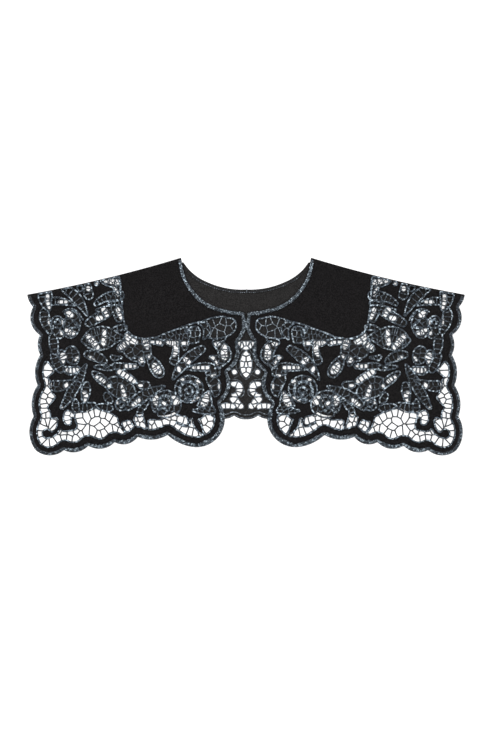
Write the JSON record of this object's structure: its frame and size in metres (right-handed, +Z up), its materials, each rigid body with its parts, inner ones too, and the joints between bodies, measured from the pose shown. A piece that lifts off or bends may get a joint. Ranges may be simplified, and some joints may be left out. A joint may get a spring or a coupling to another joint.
{
  "type": "cutwork lace collar",
  "caption": "Wide cape-like cutwork lace collar laid flat, folded at the shoulders, with scalloped edges, open nets and a glitter trim.",
  "frame": {"origin": "middle of the bounding box, on the surface that the collar lies on", "axes": "+X to the right as the collar is seen from above with its neck up, +Y towards the neck, +Z up from the surface"},
  "size_m": [0.5492, 0.2492, 0.0061],
  "materials": {
    "black_cloth": "matte plain weave",
    "black_cloth_inner_face": "matte plain weave, the wrong side",
    "glitter_trim": "metallic thread, looped",
    "neck_tape": "matte tape"
  },
  "bodies": {
    "root": {"back": "black_cloth_inner_face", "back_neck_tape": "neck_tape", "front_left": "black_cloth", "front_right": "black_cloth", "edge_trim_left": "glitter_trim", "edge_trim_right": "glitter_trim"}
  },
  "joints": []
}
